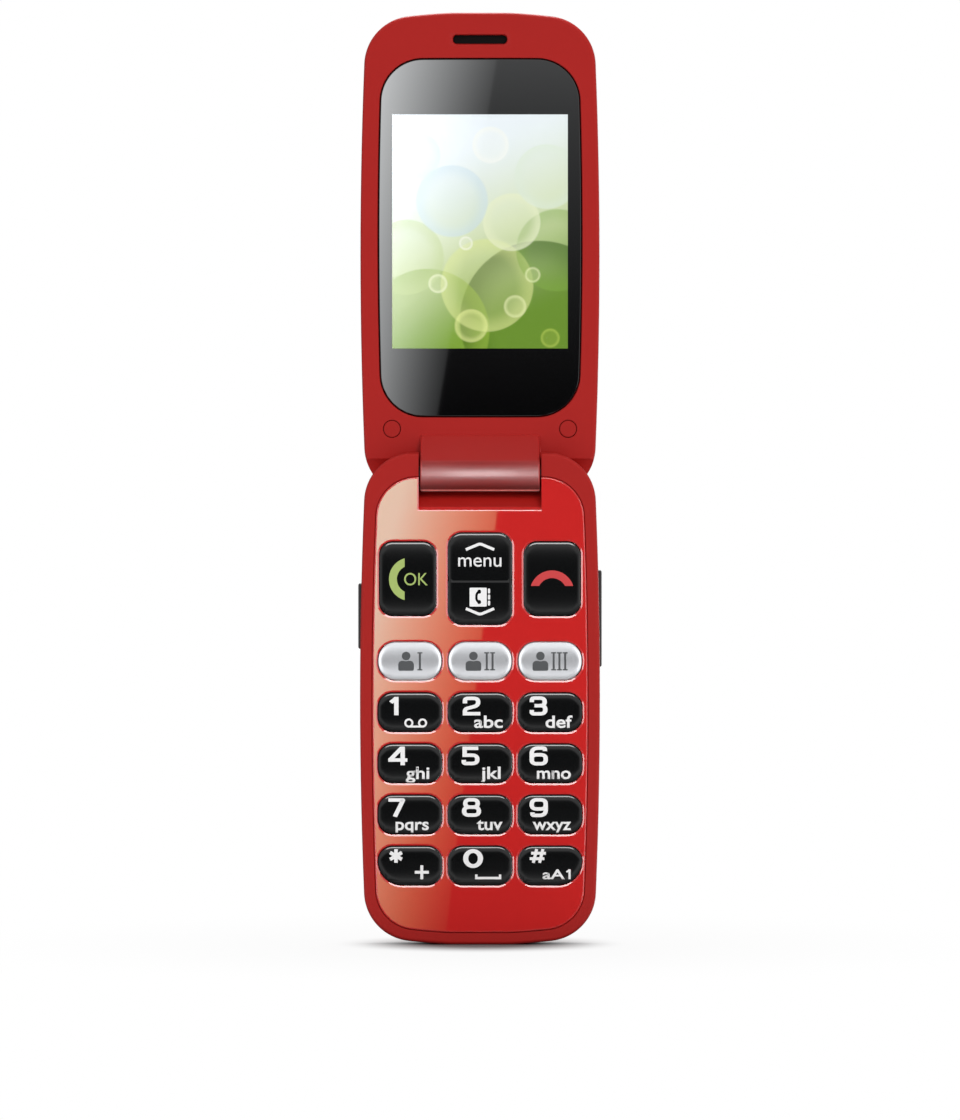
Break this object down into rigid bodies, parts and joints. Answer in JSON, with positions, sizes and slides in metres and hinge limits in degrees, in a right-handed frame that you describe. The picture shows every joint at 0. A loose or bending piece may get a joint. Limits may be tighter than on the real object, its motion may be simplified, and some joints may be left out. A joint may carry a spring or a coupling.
{
  "type": "flip phone",
  "caption": "Folding mobile phone: a hinged lid with the screen over a base with large keys, side keys and a removable battery, shown opened flat.",
  "frame": {"origin": "middle of the part's footprint at its lower end", "axes": "+Z along the phone from the base's lower end to the lid's outer end, +Y from the keypad to the back, +X to the right seen from the keypad side"},
  "size_m": [0.0508, 0.0135, 0.1945],
  "materials": {
    "red_plastic": "satin moulded",
    "red_panel": "high gloss",
    "black_key": "gloss",
    "silver_key": "satin lacquer",
    "side_key": "matte",
    "window": "high gloss",
    "screen": "clear",
    "light_guide": "white",
    "board": "solder mask",
    "steel": "plated",
    "brass": "plated",
    "dark_plastic": "matte",
    "flex_film": "polyimide film"
  },
  "bodies": {
    "base": {"base_front_housing": "red_plastic", "base_rear_housing": "red_plastic", "keypad_panel": "red_panel", "dome_sheet": "steel", "main_board": "board", "shield_can": "steel", "sim_holder": "steel", "battery": "dark_plastic", "battery_contacts": "brass", "usb_socket": "steel", "microphone": "steel", "loudspeaker": "dark_plastic", "vibration_motor": "steel", "antenna": "brass", "side_switches": "dark_plastic", "hall_sensor": "dark_plastic", "case_screws": "steel", "hinge_shaft": "steel", "hinge_bush": "steel", "base_flex": "flex_film"},
    "lid": {"lid_inner_housing": "red_plastic", "lid_outer_cover": "red_plastic", "display_lens": "window", "display_panel": "screen", "backlight": "light_guide", "display_board": "board", "earpiece": "dark_plastic", "earpiece_mesh": "dark_plastic", "lid_magnet": "steel", "lid_screws": "steel", "lid_screw_plugs": "red_plastic", "hinge_can": "steel", "hinge_follower": "brass", "hinge_spring": "steel", "lid_flex": "flex_film"},
    "battery_cover": {"battery_cover": "red_plastic"},
    "menu_rocker": {"menu_rocker": "black_key"},
    "volume_rocker": {"volume_rocker": "side_key"},
    "side_button": {"side_button": "side_key"},
    "call_key": {"call_key": "black_key"},
    "end_key": {"end_key": "black_key"},
    "memory_key_1": {"memory_key_1": "silver_key"},
    "memory_key_2": {"memory_key_2": "silver_key"},
    "memory_key_3": {"memory_key_3": "silver_key"},
    "key_1": {"key_1": "black_key"},
    "key_2": {"key_2": "black_key"},
    "key_3": {"key_3": "black_key"},
    "key_4": {"key_4": "black_key"},
    "key_5": {"key_5": "black_key"},
    "key_6": {"key_6": "black_key"},
    "key_7": {"key_7": "black_key"},
    "key_8": {"key_8": "black_key"},
    "key_9": {"key_9": "black_key"},
    "key_star": {"key_star": "black_key"},
    "key_0": {"key_0": "black_key"},
    "key_hash": {"key_hash": "black_key"}
  },
  "joints": [
    {"name": "flip_hinge", "type": "hinge", "parent": "base", "child": "lid", "pos_m": [0, -0.00325, 0.098], "axis": [1, 0, 0], "range_deg": [0, 180]},
    {"name": "battery_cover_lift", "type": "slide", "parent": "base", "child": "battery_cover", "axis": [0, 1, 0], "range_m": [0, 0.012]},
    {"name": "menu_rocker_tilt", "type": "hinge", "parent": "base", "child": "menu_rocker", "pos_m": [0, -0.0045, 0.0763], "axis": [1, 0, 0], "range_deg": [-2, 2], "stiffness_Nm_per_rad": 0.27},
    {"name": "volume_rocker_tilt", "type": "hinge", "parent": "base", "child": "volume_rocker", "pos_m": [0.0223, -0.00125, 0.0679], "axis": [0, 1, 0], "range_deg": [-1.8, 1.8], "stiffness_Nm_per_rad": 0.3},
    {"name": "side_button_press", "type": "slide", "parent": "base", "child": "side_button", "axis": [1, 0, 0], "range_m": [0, 0.0003], "stiffness_N_per_m": 1500, "springref_m": -0.0003},
    {"name": "call_key_press", "type": "slide", "parent": "base", "child": "call_key", "axis": [0, 1, 0], "range_m": [0, 0.0004], "stiffness_N_per_m": 1200, "springref_m": -0.0004},
    {"name": "end_key_press", "type": "slide", "parent": "base", "child": "end_key", "axis": [0, 1, 0], "range_m": [0, 0.0004], "stiffness_N_per_m": 1200, "springref_m": -0.0004},
    {"name": "memory_key_1_press", "type": "slide", "parent": "base", "child": "memory_key_1", "axis": [0, 1, 0], "range_m": [0, 0.0004], "stiffness_N_per_m": 1200, "springref_m": -0.0004},
    {"name": "memory_key_2_press", "type": "slide", "parent": "base", "child": "memory_key_2", "axis": [0, 1, 0], "range_m": [0, 0.0004], "stiffness_N_per_m": 1200, "springref_m": -0.0004},
    {"name": "memory_key_3_press", "type": "slide", "parent": "base", "child": "memory_key_3", "axis": [0, 1, 0], "range_m": [0, 0.0004], "stiffness_N_per_m": 1200, "springref_m": -0.0004},
    {"name": "key_1_press", "type": "slide", "parent": "base", "child": "key_1", "axis": [0, 1, 0], "range_m": [0, 0.0004], "stiffness_N_per_m": 1200, "springref_m": -0.0004},
    {"name": "key_2_press", "type": "slide", "parent": "base", "child": "key_2", "axis": [0, 1, 0], "range_m": [0, 0.0004], "stiffness_N_per_m": 1200, "springref_m": -0.0004},
    {"name": "key_3_press", "type": "slide", "parent": "base", "child": "key_3", "axis": [0, 1, 0], "range_m": [0, 0.0004], "stiffness_N_per_m": 1200, "springref_m": -0.0004},
    {"name": "key_4_press", "type": "slide", "parent": "base", "child": "key_4", "axis": [0, 1, 0], "range_m": [0, 0.0004], "stiffness_N_per_m": 1200, "springref_m": -0.0004},
    {"name": "key_5_press", "type": "slide", "parent": "base", "child": "key_5", "axis": [0, 1, 0], "range_m": [0, 0.0004], "stiffness_N_per_m": 1200, "springref_m": -0.0004},
    {"name": "key_6_press", "type": "slide", "parent": "base", "child": "key_6", "axis": [0, 1, 0], "range_m": [0, 0.0004], "stiffness_N_per_m": 1200, "springref_m": -0.0004},
    {"name": "key_7_press", "type": "slide", "parent": "base", "child": "key_7", "axis": [0, 1, 0], "range_m": [0, 0.0004], "stiffness_N_per_m": 1200, "springref_m": -0.0004},
    {"name": "key_8_press", "type": "slide", "parent": "base", "child": "key_8", "axis": [0, 1, 0], "range_m": [0, 0.0004], "stiffness_N_per_m": 1200, "springref_m": -0.0004},
    {"name": "key_9_press", "type": "slide", "parent": "base", "child": "key_9", "axis": [0, 1, 0], "range_m": [0, 0.0004], "stiffness_N_per_m": 1200, "springref_m": -0.0004},
    {"name": "key_star_press", "type": "slide", "parent": "base", "child": "key_star", "axis": [0, 1, 0], "range_m": [0, 0.0004], "stiffness_N_per_m": 1200, "springref_m": -0.0004},
    {"name": "key_0_press", "type": "slide", "parent": "base", "child": "key_0", "axis": [0, 1, 0], "range_m": [0, 0.0004], "stiffness_N_per_m": 1200, "springref_m": -0.0004},
    {"name": "key_hash_press", "type": "slide", "parent": "base", "child": "key_hash", "axis": [0, 1, 0], "range_m": [0, 0.0004], "stiffness_N_per_m": 1200, "springref_m": -0.0004}
  ]
}
